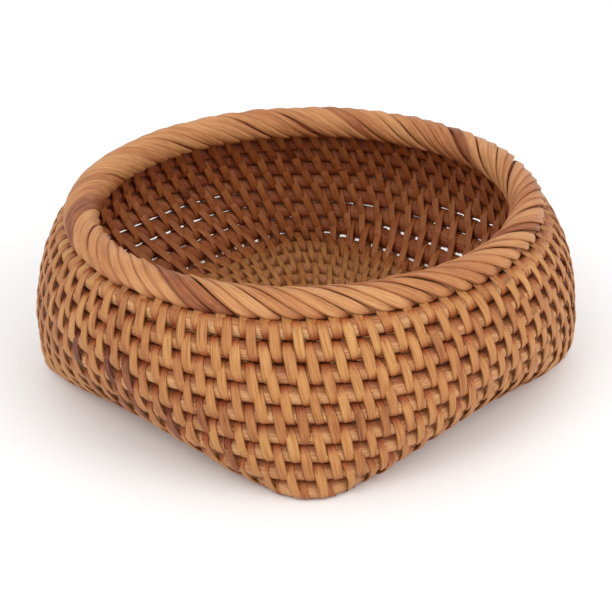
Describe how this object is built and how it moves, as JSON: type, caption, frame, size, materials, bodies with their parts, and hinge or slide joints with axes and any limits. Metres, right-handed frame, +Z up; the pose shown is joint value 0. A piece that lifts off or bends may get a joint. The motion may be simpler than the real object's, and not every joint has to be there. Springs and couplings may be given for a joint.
{
  "type": "woven fruit basket",
  "caption": "Shallow coiled rattan basket: square rounded floor, bowed wall turning round, thick slant-wrapped rim.",
  "frame": {"origin": "middle of the base, on the surface the basket stands on", "axes": "+Z up, X and Y along the sides of the rounded-square base"},
  "size_m": [0.2, 0.2, 0.0708],
  "materials": {
    "rattan_core": "matte fibrous rod",
    "rattan_peel": "satin split peel",
    "rim_peel": "satin wide peel"
  },
  "bodies": {
    "root": {"floor_rod_01": "rattan_core", "floor_rod_02": "rattan_core", "floor_rod_03": "rattan_core", "floor_rod_04": "rattan_core", "floor_rod_05": "rattan_core", "floor_rod_06": "rattan_core", "floor_rod_07": "rattan_core", "floor_rod_08": "rattan_core", "floor_rod_09": "rattan_core", "floor_rod_10": "rattan_core", "floor_stitches_01": "rattan_peel", "floor_stitches_02": "rattan_peel", "floor_stitches_03": "rattan_peel", "floor_stitches_04": "rattan_peel", "floor_stitches_05": "rattan_peel", "floor_stitches_06": "rattan_peel", "floor_stitches_07": "rattan_peel", "floor_stitches_08": "rattan_peel", "floor_stitches_09": "rattan_peel", "base_edge_stitches": "rattan_peel", "wall_rod_01": "rattan_core", "wall_rod_02": "rattan_core", "wall_rod_03": "rattan_core", "wall_rod_04": "rattan_core", "wall_rod_05": "rattan_core", "wall_rod_06": "rattan_core", "wall_rod_07": "rattan_core", "wall_rod_08": "rattan_core", "wall_rod_09": "rattan_core", "wall_stitches_01": "rattan_peel", "wall_stitches_02": "rattan_peel", "wall_stitches_03": "rattan_peel", "wall_stitches_04": "rattan_peel", "wall_stitches_05": "rattan_peel", "wall_stitches_06": "rattan_peel", "wall_stitches_07": "rattan_peel", "wall_stitches_08": "rattan_peel", "rim_core_hoop": "rattan_core", "rim_ties": "rattan_peel", "rim_wrap_strands": "rim_peel"}
  },
  "joints": []
}
